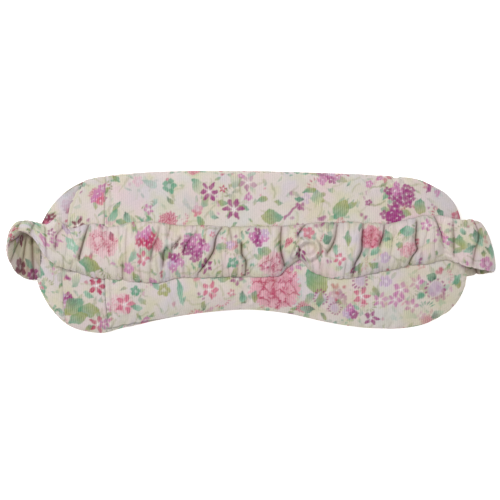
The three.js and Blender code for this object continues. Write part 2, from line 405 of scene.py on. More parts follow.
class Print:
    """The floral print, painted by formula at given flat places of the cloth, in mm."""

    def __init__(self, places, seed):
        x, y = places.T
        # every place looks its colour up a little to one side, so that no painted edge is clean
        self.x = x + 0.32 * np.sin(y * 0.9 + 2 * np.sin(x * 0.35)) + 0.12 * np.sin(x * 1.1 + y * 2.6)
        self.y = y + 0.32 * np.sin(x * 0.9 + 2 * np.sin(y * 0.4)) + 0.12 * np.sin(x * 2.7 - y * 1.4)
        # and takes the colour unevenly, as watercolour does
        cloud = np.sin(x * 0.9 + 2 * np.sin(y * 0.8)) * np.sin(y * 1.1 + 2 * np.sin(x * 0.6))
        self.water = 0.88 + 0.1 * cloud + 0.06 * np.sin(x * 3.7 + y * 2.1) * np.sin(y * 4.3 - x * 1.3)
        self.colour = np.tile(SHELL, (len(places), 1))
        self.ink = np.full(len(places), 0.05)
        self.random = np.random.default_rng(seed)
        self.roll = self.random.uniform
        self.low, self.high = places.min(0), places.max(0)

    def near(self, x, y, reach):
        found = np.flatnonzero((abs(self.x - x) < reach) & (abs(self.y - y) < reach))
        return found, self.x[found] - x, self.y[found] - y

    def around(self, x, y, radius, reach=1.15, oval=1):
        """The places about x, y: how far out each one is, where radius is 1, and its bearing."""
        found, dx, dy = self.near(x, y, radius * reach)
        return found, np.hypot(dx, dy / oval) / radius, np.arctan2(dy, dx)

    def beside(self, x, y, angle, length):
        """The places near a line from x, y at an angle: how far along it each is, and how far off."""
        found, dx, dy = self.near(x, y, length * 1.1)
        along = dx * math.cos(angle) + dy * math.sin(angle)
        return found, along, -dx * math.sin(angle) + dy * math.cos(angle)

    def lay(self, found, amount, colour, ink=1.0):
        amount = np.clip(amount, 0, 1) * self.water[found]
        self.colour[found] += amount[:, None] * (colour - self.colour[found])
        self.ink[found] += amount * (ink - self.ink[found])

    def pick(self, choices):
        return choices[self.random.integers(len(choices))]

    def wash(self, x, y, radius, colour, strength=0.8):
        """A soft patch of watered colour."""
        found, far, bearing = self.around(x, y, radius, reach=1.9)
        wobble = 1 + 0.25 * np.sin(3 * bearing + x) + 0.15 * np.sin(5 * bearing + y)
        self.lay(found, strength * np.exp(-((far / wobble) ** 3)), colour, ink=0.15)

    def leaf(self, x, y, angle, length, width, tip=OLIVE, base=JADE, strength=0.88):
        """A pointed leaf whose stalk end is at x, y."""
        found, along, side = self.beside(x, y, angle, length)
        along, side = along / length, side / width
        inside = np.sin(np.pi * np.clip(along, 0, 1) ** 1.15) ** 0.8 / 2 - abs(side)
        edge = smooth_step(inside * width / 0.42 + 0.35)
        shade = np.clip(along * 1.3 - 0.15 + 0.25 * side, 0, 1)[:, None]
        vein = smooth_step(1 - abs(side) * width / 0.35) * smooth_step(width / 3.5)
        colour = (base * (1 - shade) + tip * shade) * (1 - 0.2 * vein)[:, None]
        self.lay(found, edge * strength, colour)

    def stem(self, x, y, angle, length, bend, width=0.5, colour=MOSS, strength=0.55):
        """A thin stalk that turns by bend along its length."""
        found, along, side = self.beside(x, y, angle, length)
        share = np.clip(along / length, 0, 1)
        off = np.hypot(side - bend * length * share * (1 - share), along - share * length)
        self.lay(found, smooth_step(1.5 - off / width) * strength, colour, ink=0.5)

    def star(self, x, y, radius, colour, petals=5, turn=0.0):
        """A flower of separate drop-shaped petals, darkest at their tips, with a pale middle."""
        found, far, bearing = self.around(x, y, radius)
        across = abs(np.sin(bearing * petals / 2 + turn)) * far * radius * 3.2 / petals
        outline = np.sin(np.pi * np.clip((far - 0.12) / 0.94, 0, 1) ** 1.4) ** 0.75
        width = radius * 1.8 / petals * outline
        petal = smooth_step((width - across) / 0.5 + 0.5) * (far > 0.12) * (far < 1.06)
        self.lay(found, smooth_step((0.6 - far) * 2.2) * 0.6, WHITE, ink=0.2)
        strength = 0.5 + 0.45 * smooth_step(far * 2)
        self.lay(found, petal * strength, colour * (1.12 - 0.2 * far)[:, None])
        self.dots(x, y, 0.1, 1, WHITE, radius * 0.12)

    def bloom(self, x, y, radius, colour, petals=5, turn=0.0, eye=0.3):
        """A soft flower of touching round petals with a pale middle."""
        found, far, bearing = self.around(x, y, radius)
        along_petal = abs(np.cos(bearing * petals / 2 + turn))
        body = smooth_step((0.62 + 0.38 * along_petal**0.7 - far) * radius / 0.5 + 0.4)
        gap = 0.3 * smooth_step(1 - along_petal * far * radius / 0.55)
        middle = smooth_step((eye - far) * radius / 0.6 + 0.4)
        self.lay(found, body * (0.92 - gap), colour * (0.9 + 0.2 * far)[:, None])
        self.lay(found, middle * 0.8, middle_of(colour), ink=0.3)

    def pompom(self, x, y, radius):
        """A full round flower of many narrow upright petals."""
        found, far, bearing = self.around(x, y, radius, reach=1.3, oval=OVAL)
        ragged = 1 + 0.10 * np.sin(13 * bearing + x) + 0.05 * np.sin(29 * bearing)
        body = smooth_step((ragged - far) * radius / 0.7 + 0.2)
        strokes = np.sin(13 * bearing + 3 * np.sin(4 * far)) * np.sin(far * 8 + bearing)
        depth = np.clip(0.84 - 0.3 * far + 0.5 * strokes, 0, 1)[:, None]
        self.lay(found, body * 0.92, PETAL * (1 - depth) + CRIMSON * depth, ink=0.9)

    def rose(self, x, y, radius, turn=0.0, pale=PETAL, line=ROSE, strength=0.85, petals=15):
        """A large open flower of cupped petals, dark at their feet and in the gaps between them."""
        found, dx, dy = self.near(x, y, radius * 1.2)
        petal = np.arange(petals)
        away = 0.92 * radius * np.sqrt((petal + 0.3) / petals)
        facing = GOLDEN_ANGLE * petal + turn
        ragged = 0.4 * np.sin(dx * 2.1 + 3 * np.sin(dy * 1.3))
        ragged += 0.35 * np.sin(dy * 2.9 + 2 * np.sin(dx * 1.7))
        off_x = (dx + ragged)[:, None] - away * np.cos(facing)
        off_y = (dy - ragged)[:, None] - away * np.sin(facing) * OVAL
        apart = np.hypot(off_x, off_y)
        row, mine = np.arange(len(found)), apart.argmin(axis=1)
        inward = off_x[row, mine] * np.cos(facing[mine]) + off_y[row, mine] * np.sin(facing[mine])
        foot = -inward * math.sqrt(petals) / radius
        first, second = np.partition(apart, 1, axis=1)[:, :2].T
        gap = smooth_step(1.2 - (second - first) / (0.06 * radius + 0.1) + 0.6 * ragged)
        bearing = np.arctan2(dy, dx)
        out = np.hypot(dx, dy / OVAL) / radius + 0.12 * ragged + 0.03 * np.sin(9 * bearing + x)
        streak = 0.5 + 0.5 * np.sin(round(2.4 * radius) * bearing + 4 * ragged)
        shade = np.clip(0.5 + foot, 0, 1) * (0.25 + 0.75 * streak)
        depth = np.clip(gap * (1.25 - 0.5 * out) + 0.8 * shade * (1.1 - 0.5 * out), 0, 1)[:, None]
        body = smooth_step((1 - out) * radius / 0.8)
        self.lay(found, body * strength, pale * (1 - depth) + line * depth, ink=0.5)

    def daisy(self, x, y, radius):
        """A pale round flower with a ring of short dark dashes."""
        found, far, bearing = self.around(x, y, radius, reach=1.2)
        self.lay(found, smooth_step((0.8 - far) * radius / 1.4) * 0.75, LILAC, ink=0.4)
        dash = np.cos(bearing * 14 + x) * 0.5 + 0.5
        band = smooth_step(1.3 - abs(far - 0.86) * radius / 0.7)
        self.lay(found, band * smooth_step(dash * 2.4 - 0.5) * 0.85, MAGENTA)

    def dots(self, x, y, spread, count, colour, size=0.6):
        for _ in range(count):
            dx, dy = self.random.normal(0, spread / 2, 2)
            found, far, _ = self.around(x + dx, y + dy, size, reach=2)
            self.lay(found, smooth_step(1.6 - far) * 0.8, colour, ink=0.8)

    def sprig(self, x, y, size, colour=CRIMSON, turn=1.57):
        """A fan of small strokes."""
        for k in range(6):
            angle = turn + (k - 2.5) * 0.42
            foot = x + size * 0.55 * math.cos(angle), y + size * 0.55 * math.sin(angle)
            self.leaf(*foot, angle, size * 0.6, 0.9, tip=colour, base=colour)

    def leafy(self, x, y, spread, count):
        """Leaves that stand round a place, on a pale green halo."""
        self.wash(x, y, spread * 1.3, CELERY, 0.5)
        start = self.roll(0, TURN)
        for k in range(count):
            angle = start + TURN * k / count + self.roll(-0.4, 0.4)
            tip, base = self.pick(LEAF_COLOURS)
            length = self.roll(3.6, 8)
            foot = x + spread * 0.55 * math.cos(angle), y + spread * 0.55 * math.sin(angle)
            leaning = angle + self.roll(-0.5, 0.5)
            self.leaf(*foot, leaning, length, length * self.roll(0.36, 0.6), tip, base)

    def cluster(self, x, y, spread, count, colours=(MAGENTA, ORCHID, MAGENTA, LILAC)):
        """A crowded head of small florets with white eyes."""
        for k in range(count):
            away = spread * math.sqrt((k + 0.5) / count)
            angle = GOLDEN_ANGLE * k + x
            floret = x + away * math.cos(angle), y + away * math.sin(angle) * 0.8
            self.bloom(*floret, self.roll(2.2, 2.9), self.pick(colours), turn=k, eye=0.04)
            self.dots(*floret, 0.1, 1, WHITE, 0.36)

    def scatter(self, spacing, draw):
        """Calls draw(x, y) at loosely even places over the whole cloth."""
        columns, rows = (
            np.arange(low - spacing, high + spacing, spacing)
            for low, high in zip(self.low, self.high)
        )
        for k, column in enumerate(columns):
            for row in rows + (k % 2) * spacing / 2:
                dx, dy = self.roll(-0.3, 0.3, 2) * spacing
                draw(column + dx, row + dy)

    def ground(self):
        """Soft patches of the pale grounds."""
        self.scatter(9, lambda x, y: self.wash(x, y, self.roll(5, 9), self.pick(PALE_GROUNDS), 0.8))

    def stalk(self, x, y):
        angle, length, bend = self.roll(0, TURN), self.roll(4, 9), self.roll(-0.6, 0.6)
        self.stem(x, y, angle, length, bend, colour=self.pick([MOSS, OLIVE, OLIVE]), strength=0.4)

    def small_leaves(self, x, y):
        """One leaf, or two side by side."""
        roll = self.roll
        tip, base = self.pick(LEAF_COLOURS)
        angle, length = roll(0, TURN), roll(2.8, 6)
        width, strength = length * roll(0.35, 0.55), self.pick([0.35, 0.55, 0.88])
        self.leaf(x, y, angle, length, width, tip, base, strength)
        if roll() < 0.3:
            self.leaf(x + 2.2, y, angle + roll(0.4, 1), length * 0.8, length * 0.35, tip, base)

    def buds(self, x, y):
        count, colour = self.pick([1, 2, 3]), self.pick([ORCHID, ROSE, JADE, MAGENTA, CRIMSON])
        self.dots(x, y, 2.4, count, colour, self.roll(0.5, 1.0))

    def small_sprig(self, x, y):
        self.sprig(x, y, self.roll(3, 4.4), self.pick([CRIMSON, MOSS, ROSE]), self.roll(0, TURN))

    def small_star(self, x, y):
        colours = [MAGENTA, ROSE, ORCHID, CRIMSON]
        self.star(x, y, self.roll(1.8, 2.8), self.pick(colours), turn=self.roll(0, 3))

    def filling(self):
        """Stalks, leaves, buds and sprigs that fill the cloth between the flowers."""
        self.scatter(12, lambda x, y: self.wash(x, y, self.roll(2.5, 5.5), CELERY, 0.6))
        self.scatter(9, self.stalk)
        self.scatter(8.2, self.small_leaves)
        self.scatter(12, self.buds)
        self.scatter(22, self.small_sprig)

    def arrangement(self, x, y):
        """One of the print's main flowers, with its leaves."""
        roll, pick = self.roll, self.pick
        kind = self.random.integers(10)
        self.leafy(x, y, roll(3, 5), self.random.integers(1, 4))
        if kind < 3:
            self.star(x, y, roll(3.2, 4.6), pick([MAGENTA, MAGENTA, CRIMSON, ORCHID]), turn=roll(0, 3))
        elif kind < 5:
            self.bloom(x, y, roll(2.6, 3.6), pick([JADE, ORCHID, AQUA, ROSE]), turn=roll(0, 3))
        elif kind < 7:
            self.pompom(x, y, roll(3, 4.4))
        elif kind < 9:
            self.bloom(x, y, roll(2.2, 3.2), pick([LILAC, ORCHID, PINK]), turn=roll(0, 3))
        else:
            self.cluster(x, y, roll(3, 5), self.random.integers(4, 9))
        if kind % 4 == 1:
            foot, angle = (x + roll(-7, 7), y + roll(-7, 7)), roll(0, TURN)
            self.leaf(*foot, angle, roll(8, 11), roll(4.5, 6), CELERY, JADE)

    def flowers(self, spacing):
        self.scatter(spacing, self.arrangement)
        self.scatter(spacing * 1.3, self.small_star)

    def finished(self):
        speckle = np.sin(self.x * 2.1 + 3 * np.sin(self.y * 0.7)) * np.sin(self.y * 1.7 + self.x)
        tone = 1 + speckle[:, None] * 0.02
        return np.column_stack([np.clip(self.colour * tone, 0, 1), np.clip(self.ink, 0, 1)])


def painted(places, chosen, spacing, seed):
    """The print at places, with the chosen flowers over those that the seed puts there."""
    cloth = Print(places, seed)
    cloth.ground()
    cloth.filling()
    cloth.flowers(spacing)
    for _, x, y, *_ in chosen:
        cloth.wash(x, y, 6, SHELL, 0.3)
    for kind, x, y, *rest in chosen:
        getattr(cloth, kind)(x, y, *rest)
    return cloth.finished()


def darken(colour, amount):
    """Darkens printed colours by a share of each, and leaves their ink as it is: the panels paint their
    shade with it.
    """
    colour[:, :3] *= 1 - amount[:, None]


# Main flowers in chosen places: kind, x, y, then what that kind takes
BACK_FLOWERS = [
    ("wash", -54, 31, 10, LAVENDER, 0.5), ("wash", -29.5, 23, 5, LAVENDER, 0.6),
    ("wash", -38, -20, 6, LAVENDER, 0.6), ("wash", 100, 27, 8, LAVENDER, 0.5),
    ("wash", 73, -32, 7, MIST, 0.6), ("leafy", -69, 17, 4, 3),
    ("leaf", -66, 21, -2.2, 8, 4, AQUA, JADE), ("leaf", -63, 20, -1.1, 7, 3.6, AQUA, PINE),
    ("pompom", -40.5, 15.5, 4.8), ("bloom", -39, 31.5, 3.7, JADE),
    ("star", -19.5, 28.5, 4.6, MAGENTA, 6), ("leafy", -8, 22, 4, 3),
    ("star", -7.7, 20.5, 5.2, MAGENTA, 6), ("bloom", -0.5, 26, 2.1, ORCHID),
    ("leaf", 3, 24, 0.25, 6.5, 2.8, OLIVE, JADE), ("bloom", -4, 36, 1.8, ORCHID),
    ("stem", -4.5, 35, -1.6, 7, 0.1), ("sprig", 0.5, 38.5, 3.8, CRIMSON), ("sprig", 9.5, 38, 3.6, MOSS),
    ("leaf", 17.5, 16.5, 3.1, 12, 7, OLIVE, JADE), ("stem", 18, 16, 0.75, 9, 0.3, 0.6, MAGENTA, 0.8),
    ("dots", 25, 22, 2.6, 6, MAGENTA, 0.7), ("leaf", 22, 25.5, -0.2, 5, 2.6, PINE, JADE),
    ("leaf", 26, 28, 0.3, 7, 2.6, OLIVE, JADE), ("sprig", 33, 39, 3.6, ROSE),
    ("sprig", 45, 36, 4, CRIMSON), ("leafy", 46, 20, 5, 2), ("leaf", 42.5, 16, 0.9, 11, 8, OLIVE, JADE),
    ("stem", 60, 31, 0.1, 9, 0.3), ("bloom", 59, 33, 2.1, ORCHID), ("bloom", 60, 24, 2, MAGENTA),
    ("stem", 61, 23, 0.2, 8, -0.3), ("bloom", 64.5, 37, 2, ORCHID),
    ("cluster", 77, 28.5, 7.6, 13, (MAGENTA, MAGENTA, ORCHID)),
    ("cluster", 72.5, 17, 5, 8, (WINE, MAGENTA, MAGENTA)),
    ("leaf", 87.5, 27, -1.7, 9, 6.5, OLIVE, JADE), ("leaf", 91, 29, 1.2, 7, 2.4, MAGENTA, MAGENTA),
    ("dots", 97, 30, 4, 6, ORCHID, 0.8), ("bloom", 106, 18, 3, ROSE),
    ("leaf", 98, 17, 1.8, 5, 3, PINE, JADE), ("rose", 13, -17, 12.8, 0.4, FLUSH, CRIMSON, 0.95, 17),
    ("leaf", 30, -6, -1.1, 17, 11, OLIVE, JADE, 0.98), ("leaf", -3.5, -18, -1.5, 6, 3.2, AQUA, PINE),
    ("leaf", 3, -17.5, -1.6, 6.5, 3.2, OLIVE, JADE), ("leaf", -22, -8, -1.9, 6, 3, AQUA, JADE),
    ("leaf", -18, -8, -1.3, 6, 3, AQUA, PINE), ("leaf", -37, -12, -1.2, 15, 3, AQUA, JADE),
    ("bloom", -43, -19, 3.6, OLIVE), ("star", -19, -18, 4, ROSE),
    ("leaf", -69, -15, 0.6, 7.5, 4.4, OLIVE, JADE), ("rose", -65, -26, 6.8, 1.8, BLUSH, PINK),
    ("star", -63, -26, 5, ROSE), ("leaf", -61, -27.5, -0.1, 7, 3.4, AQUA, JADE),
    ("bloom", -57.5, -19.5, 2.8, JADE), ("leaf", -49, -14.5, -0.9, 5.5, 3.4, AQUA, JADE),
    ("leafy", 49, -28, 5, 3), ("daisy", 36, -22.5, 4), ("daisy", 43, -28, 3.6),
    ("cluster", 51, -30, 3.2, 5), ("star", 62, -33.5, 4.2, MAGENTA), ("star", 57, -22, 4.6, ROSE),
    ("dots", 44, -19, 4, 7, CRIMSON, 0.8), ("daisy", 56, -14.5, 4.2), ("bloom", 69, -14.5, 3.4, LILAC),
    ("star", 77, -19, 4.6, ORCHID), ("star", 85, -15, 3.8, ORCHID), ("star", 74, -24, 3.6, ORCHID),
    ("star", 83, -27, 3.8, ORCHID), ("daisy", 95, -18.5, 5.8),
    ("leaf", 90, -11, -0.5, 6, 4, PINE, JADE), ("dots", 87.5, -21.5, 0.2, 2, JADE, 1.6),
    ("leaf", 105, -11, -1.2, 8, 4, OLIVE, JADE), ("leaf", 104, -17, 0.9, 7, 3.6, AQUA, JADE),
    ("wash", 82, -11, 7, CELERY, 0.5), ("wash", 84, -33, 6, CELERY, 0.5),
    ("wash", 100, -27, 7, CELERY, 0.5), ("wash", 45, -14, 6, CELERY, 0.5),
    ("sprig", 91, -29, 4.2, JADE), ("leafy", 34, -29, 3, 3),
]
FRONT_FLOWERS = [
    ("cluster", -128.5, 23, 3, 5, (CRIMSON, WINE)),
    # the lavender wash beside the end seam's upper end paints that strip's shade, in the print's
    # lavender
    ("cluster", -116.5, 15.5, 4.4, 7, (ORCHID, WINE, ROSE)), ("wash", -125, 27, 7, LAVENDER, 0.9),
    ("leaf", -115, -12, 0.8, 8, 5, AQUA, JADE),
]
FLAP_FLOWERS = [
    ("bloom", -74.5, 32, 2.8, ORCHID), ("cluster", -77, 26.5, 3, 5, (ROSE, ORCHID)),
    ("star", -86.5, 13, 3.8, WINE), ("star", -77, -17, 4.6, CRIMSON),
    ("leaf", -95, -32, 0.7, 13, 9, JADE, OLIVE), ("leaf", -88, -30, 0.1, 11, 8, OLIVE, JADE),
    ("leaf", -94, -36, 0.4, 12, 6, OLIVE, JADE), ("leaf", -84, -8, 0.4, 12, 8, OLIVE, JADE),
    ("dots", -92, -13, 1.6, 3, MAGENTA, 0.9), ("leaf", -79, -23, 2.6, 6, 3, AQUA, JADE),
    ("star", -75, -37, 3, ORCHID),
]
STRAP_FLOWERS = [
    ("leafy", -108, 2, 4, 3), ("star", -99, 1, 3.6, ORCHID), ("bloom", -92, 1.5, 4.8, AQUA),
    ("leaf", -87, -6.5, -0.1, 14, 8, OLIVE, JADE, 0.95),
    ("rose", -74, 4.5, 8.8, 2.5, PETAL, CRIMSON, 0.85, 6), ("leaf", -71, 11, -1, 5, 3, CRIMSON, WINE),
    ("cluster", -52, 6.5, 5, 8, (MAGENTA, ORCHID, CRIMSON)), ("star", -54, -3, 3.6, ROSE),
    ("leaf", -43, 3, -1, 8, 5, OLIVE, JADE), ("leaf", -38, 1, 1, 5, 2, WINE, WINE),
    ("cluster", -28, 3, 7.4, 11, (MAGENTA, MAGENTA, ORCHID)),
    ("cluster", -37.5, -5, 4.6, 6, (ORCHID, LILAC, MAGENTA)), ("bloom", -8, -6, 3.4, JADE),
    ("bloom", -10, 4, 2.6, LILAC), ("cluster", 5, 8, 5, 8), ("leaf", 4, 2, -0.5, 9, 6, OLIVE, JADE),
    ("rose", 13, -7, 8.4, 0.8, PETAL, CRIMSON, 0.85, 9), ("bloom", 30, 8, 4, ROSE),
    ("leaf", 38, 8, -1, 6, 5, PINE, JADE), ("star", 46, -4, 3.4, ROSE),
    ("rose", 62, 6, 7.6, 4, PINK, CRIMSON, 0.95), ("leaf", 50, 10, -1.5, 8, 3.4, OLIVE, JADE),
    ("leaf", 70, 11, -1.5, 12, 6, CELERY, JADE), ("leafy", 60, -6, 4, 4),
    ("dots", 85, -1, 4, 7, CRIMSON, 0.8), ("star", 90, 8, 3.4, ORCHID),
    ("leaf", 44, 4, -1.5, 7, 3, AQUA, JADE), ("bloom", 69, -6, 3.4, LILAC), ("leafy", 74, 4, 4, 3),
    ("leaf", 76, 9, -0.4, 10, 6, AQUA, JADE), ("rose", 81, -4, 5.6, 1, PETAL, ROSE),
    ("star", 97, 3, 3.4, ORCHID), ("star", 103, -1, 3.2, ORCHID),
    ("leaf", 109, 3, -1.4, 8, 4, OLIVE, JADE), ("leafy", 110, 2, 4, 4),
]
# More of them on the end loops: distance from the left side seam, then across the whole casing
LOOP_FLOWERS = [
    ("wash", 12, 29, 10, CELERY, 0.7), ("wash", 4, 23, 7, CELERY, 0.7), ("bloom", 4, 38, 3.6, MAGENTA),
    ("bloom", 11, 36.5, 4.4, WINE), ("bloom", 15.5, 24, 4.6, WINE), ("wash", 24, 4, 9, AQUA, 0.3),
    ("wash", 36, 6, 8, AQUA, 0.25), ("leaf", 9, 31, 2.6, 7, 4, AQUA, PINE),
    ("leaf", 2, 20, 0.4, 7, 3, MOSS, MOSS, 0.6), ("leaf", 12, -12, 1.1, 10, 5, AQUA, JADE),
    ("leaf", 20, -11, 0.8, 9, 5, AQUA, JADE), ("leafy", 27, 0, 5, 4),
    ("leaf", 33, 8, 0.3, 9, 5, AQUA, JADE), ("bloom", 42, -3, 4.2, ORCHID),
    ("leaf", 261, 5, -1.4, 9, 5, OLIVE, JADE), ("leafy", 271, 0, 5, 5),
    ("leaf", 268, 9, -1.1, 11, 5.4, AQUA, PINE), ("leaf", 276, 2, -1.6, 9, 5, AQUA, JADE),
    ("bloom", 273, -10, 3.8, ORCHID), ("leaf", 283, 8, -1.3, 10, 5, OLIVE, JADE),
    ("leaf", 258, -8, 0.6, 8, 4, OLIVE, JADE),
]


# ---- materials ----

INKED_RIB = 0.2             # how much lighter a rib is where there is ink, and on bare cloth
BARE_RIB = 0.015
PATCHINESS = 0.16           # how much the tone of the cotton varies
THREAD_RELIEF = 0.35        # how far the threads stand out, for a rib's 1


class Nodes:
    """The shader nodes of a new material."""

    def __init__(self, name):
        self.material = bpy.data.materials.new(name)
        self.material.use_nodes = True
        self.tree = self.material.node_tree
        self.shader = self.tree.nodes["Principled BSDF"]

    def feed(self, node, inputs):
        """Sets a node's inputs, or links them where the value is another node's output."""
        for key, value in inputs.items():
            if isinstance(value, bpy.types.NodeSocket):
                self.tree.links.new(value, node.inputs[key])
            else:
                node.inputs[key].default_value = value

    def add(self, kind, inputs=None, **settings):
        node = self.tree.nodes.new("ShaderNode" + kind)
        for name, value in settings.items():
            setattr(node, name, value)
        self.feed(node, inputs or {})
        return node

    def math(self, operation, *values):
        return self.add("Math", dict(enumerate(values)), operation=operation).outputs[0]

    def wave(self, place, pitch):
        return self.math("SINE", self.math("MULTIPLY", place, 2 * math.pi / pitch))

    def bump(self, height, strength, distance):
        sizes = {"Strength": strength, "Distance": distance, "Height": height}
        return self.add("Bump", sizes).outputs[0]


def printed_cotton():
    """Ribbed cotton with its colours in the mesh's print layer; the ribs run across the cloth's x."""
    nodes = Nodes("printed_cotton")
    ink = nodes.add("Attribute", attribute_name="print").outputs
    cloth = nodes.add("Attribute", attribute_name="cloth").outputs["Vector"]
    place = nodes.add("SeparateXYZ", {0: cloth}).outputs
    rib = nodes.wave(place["X"], RIB_PITCH)
    thread = nodes.wave(place["Y"], THREAD_PITCH)
    speckle = nodes.add("TexNoise", {"Scale": 1.1, "Detail": 3, "Vector": cloth})
    inked_rib = nodes.math("MULTIPLY", nodes.math("MULTIPLY", rib, ink["Alpha"]), INKED_RIB)
    tone = nodes.math("ADD", inked_rib, nodes.math("MULTIPLY_ADD", rib, BARE_RIB, 1.0))
    uneven = nodes.math("MULTIPLY_ADD", speckle.outputs["Fac"], PATCHINESS, 1 - PATCHINESS / 2)
    shade = {0: ink["Color"], "Scale": nodes.math("MULTIPLY", tone, uneven)}
    height = nodes.math("MULTIPLY_ADD", thread, THREAD_RELIEF, rib)
    nodes.feed(nodes.shader, {
        "Base Color": nodes.add("VectorMath", shade, operation="SCALE").outputs[0],
        "Normal": nodes.bump(height, 0.22, 0.00012),
        "Roughness": 0.86,
        "Sheen Weight": 0.12,
        "Sheen Roughness": 0.5,
        "Specular IOR Level": 0.25,
    })
    return nodes.material


def woven(name, colour, pitch, contrast=0.12):
    """A plain woven material with threads of the given pitch in metres, both ways."""
    nodes = Nodes(name)
    place = nodes.add("TexCoord").outputs["Object"]
    axes = nodes.add("SeparateXYZ", {0: place}).outputs
    weave = nodes.math("MULTIPLY", nodes.wave(axes["X"], pitch), nodes.wave(axes["Y"], pitch))
    noise = nodes.add("TexNoise", {"Scale": 900, "Vector": place})
    mixed = nodes.math("ADD", weave, noise.outputs["Fac"])
    dark, light = ((*np.clip(colour * share, 0, 1), 1) for share in (1 - contrast, 1 + contrast))
    nodes.feed(nodes.shader, {
        "Base Color": nodes.add("Mix", {0: mixed, 6: dark, 7: light}, data_type="RGBA").outputs[2],
        "Normal": nodes.bump(mixed, 0.4, pitch / 3),
        "Roughness": 0.88,
        "Sheen Weight": 0.1,
    })
    return nodes.material


# ---- the cover's panels ----

PANEL_HEIGHT = 82
ACROSS_PANEL = np.linspace(0, 1, int(PANEL_HEIGHT / FINE_STEP))    # v at the panels' fine rows
FLAP_LENGTH = 50
FACE_STEPS = 250, 110       # the face side lies on the table, so it is coarser
OVER_STEPS = 36
PANEL_LIFT = 0.35           # how far the back panel stands over the side flap
HEM_LIFT = 0.6              # how much more it does at its hem, and how far in that reaches
HEM_LIFT_REACH = 26
FLOWER_SPACING = 24

# The turned hem's section: how far in from the panel's edge, and how far below the panel
HEM_SECTION = [(HEM_WIDTH, 0.75), (1.5, 0.8), (0.5, 0.8), (0.12, 0.7), (-0.12, 0.45), (-0.1, 0.2)]


def stretch_of(side, flat, low_u, high_u, v, count):
    """The part of one side between two curves of u: its points, and their places on the flat cloth."""
    u = low_u + (high_u - low_u) * np.linspace(0, 1, count)[:, None]
    v = np.broadcast_to(v, u.shape)
    return sample(side, u, v), sample(flat, u, v)


def high_up(places):
    """How near flat places are to the upper corner of the end seam, from 0 to 1."""
    return smooth_step((places[..., 1] + 5) / 35)


def build_back_panel(back, flat, cotton):
    """The large panel, with its hem turned under at the envelope opening."""
    start = crossing(flat, ACROSS_PANEL, upright(OPENING_X))
    count = int((COVER_RIGHT - OPENING_X) / FINE_STEP)
    points, places = stretch_of(back, flat, start, np.ones_like(start), ACROSS_PANEL, count)
    normal = normals(points)
    inside, y = places[..., 0] - OPENING_X, places[..., 1]
    lift = PANEL_LIFT + HEM_LIFT * (1 - smooth_step(inside / HEM_LIFT_REACH))
    groove = 0.3 * soft_line(inside - HEM_WIDTH, 0.45)
    ripple = 0.12 * np.sin(y * 1.3 + 2 * np.sin(y * 0.31)) * np.exp(-inside / 3)
    from_seam = np.minimum(ACROSS_PANEL, 1 - ACROSS_PANEL) * PANEL_HEIGHT
    fade = smooth_step(from_seam / 1.5)
    points = points + normal * ((lift - groove + ripple) * fade)[..., None]
    inward = unit(points[4] - points[0])
    down = normal[0] * fade[:, None]
    hem = [points[0] + inward * along - down * depth for along, depth in HEM_SECTION]
    hem_places = [places[0] - [along, 0] for along, _ in HEM_SECTION]
    points = np.concatenate([hem, points])
    places = np.concatenate([hem_places, places]).reshape(-1, 2)
    x, y = places.T
    colour = painted(places, BACK_FLOWERS, FLOWER_SPACING, seed=5)
    # painted shadow: a dark line along the edge seam, where the face side rolls round the lower edge
    shows = np.clip((ROLLED_EDGE_END - x) / (ROLLED_EDGE_END - OPENING_X), 0, 1)
    from_edge = y - np.interp(x, *np.transpose(LOWER_EDGE))
    darken(colour, 0.6 * soft_line(from_edge - 2 * shows, 0.35) * np.minimum(1, 3 * shows))
    # painted shade in the groove of the hem's stitching
    darken(colour, 0.12 * soft_line(x - OPENING_X - HEM_WIDTH, 0.5))
    faces = grid_faces(numbered(points))
    return make_piece("cover_back_panel_cloth", points, faces, cotton, places, colour)


def build_side_flap(back, flat, cotton):
    """The panel that passes under the back panel's hem."""
    start, end = (crossing(flat, ACROSS_PANEL, line) for line in (END_SEAM, upright(FLAP_END_X)))
    count = int(FLAP_LENGTH / FINE_STEP)
    points, places = stretch_of(back, flat, start, end, ACROSS_PANEL, count)
    off = past_line(places, END_SEAM)
    lift = 0.8 * high_up(places) * np.exp(-off / 7) - 0.5 * soft_line(off, 0.6)
    under = PANEL_LIFT * smooth_step((places[..., 0] - OPENING_X + 3) / 5)
    points = points + normals(points) * (lift - under)[..., None]
    places = places.reshape(-1, 2)
    colour = painted(places, FLAP_FLOWERS, FLOWER_SPACING, seed=23)
    # a little darker all over, and a painted shadow along the back panel's hem edge, which lies over
    # the flap there
    darken(colour, 0.03 + 0.4 * soft_line(places[:, 0] - OPENING_X + 0.3, 0.45))
    faces = grid_faces(numbered(points))
    return make_piece("cover_side_flap_cloth", points, faces, cotton, places, colour)


